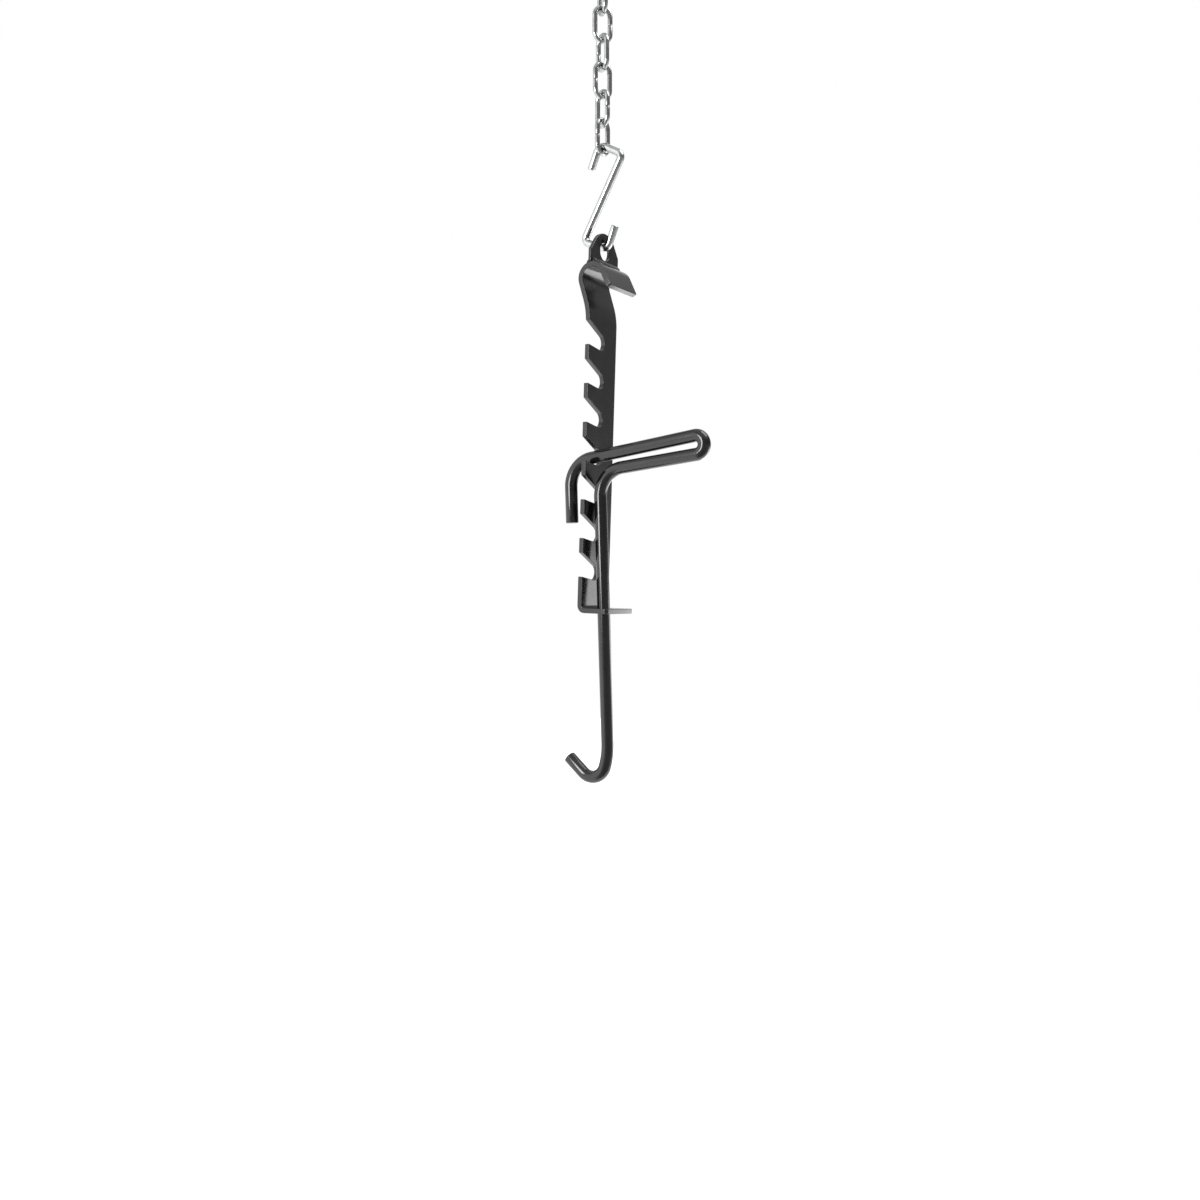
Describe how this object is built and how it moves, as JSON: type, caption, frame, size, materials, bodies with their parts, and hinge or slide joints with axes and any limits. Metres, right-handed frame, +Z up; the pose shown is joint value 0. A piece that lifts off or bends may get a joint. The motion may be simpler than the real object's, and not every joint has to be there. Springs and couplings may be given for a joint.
{
  "type": "trammel hook",
  "caption": "Adjustable pot hanger: a notched flat bar on a chain and wire hook, with a bent round rod resting in a notch and ending in a pot hook.",
  "frame": {"origin": "where the chain hangs: the inside of the top link's upper bow", "axes": "+Z up, the chain and the hanging bar run down; +X out of the bar's front face, the way the handle points; +Y across the bar from its notched edge to its plain edge"},
  "size_m": [0.1281, 0.04, 0.6333],
  "materials": {
    "black_coated_steel": "glossy black coating",
    "zinc_plated_steel": "bright zinc plating"
  },
  "bodies": {
    "chain_top": {"chain_link_1": "zinc_plated_steel"},
    "chain_2": {"chain_link_2": "zinc_plated_steel"},
    "chain_3": {"chain_link_3": "zinc_plated_steel"},
    "chain_4": {"chain_link_4": "zinc_plated_steel"},
    "chain_5": {"chain_link_5": "zinc_plated_steel"},
    "chain_6": {"chain_link_6": "zinc_plated_steel"},
    "wire_hook": {"s_hook": "zinc_plated_steel"},
    "bar": {"toothed_bar": "black_coated_steel", "eye_lug": "black_coated_steel", "lug_weld_front": "black_coated_steel", "lug_weld_back": "black_coated_steel"},
    "rod": {"hook_rod": "black_coated_steel"}
  },
  "joints": [
    {"name": "link_2_swing", "type": "hinge", "parent": "chain_top", "child": "chain_2", "pos_m": [0, 0, -0.0244], "axis": [0.788, -0.6157, 0], "range_deg": [-30, 30]},
    {"name": "link_3_swing", "type": "hinge", "parent": "chain_2", "child": "chain_3", "pos_m": [0, 0, -0.0465], "axis": [0.5592, 0.829, 0], "range_deg": [-30, 30]},
    {"name": "link_4_swing", "type": "hinge", "parent": "chain_3", "child": "chain_4", "pos_m": [0, 0, -0.0686], "axis": [0.8829, -0.4695, 0], "range_deg": [-30, 30]},
    {"name": "link_5_swing", "type": "hinge", "parent": "chain_4", "child": "chain_5", "pos_m": [0, 0, -0.0907], "axis": [0.454, 0.891, 0], "range_deg": [-30, 30]},
    {"name": "link_6_swing", "type": "hinge", "parent": "chain_5", "child": "chain_6", "pos_m": [0, 0, -0.1128], "axis": [0.9272, -0.3746, 0], "range_deg": [-30, 30]},
    {"name": "wire_hook_swing", "type": "hinge", "parent": "chain_6", "child": "wire_hook", "pos_m": [0, 0, -0.1349], "axis": [0, 1, 0], "range_deg": [-20, 20]},
    {"name": "bar_swing", "type": "hinge", "parent": "wire_hook", "child": "bar", "pos_m": [0.00149, 0, -0.20914], "axis": [1, 0, 0], "range_deg": [-20, 20]},
    {"name": "rod_unhook", "type": "hinge", "parent": "bar", "child": "rod", "pos_m": [-0.00894, -0.0506, -0.49361], "axis": [0.9994, 0, -0.0354], "range_deg": [0, 10]}
  ]
}
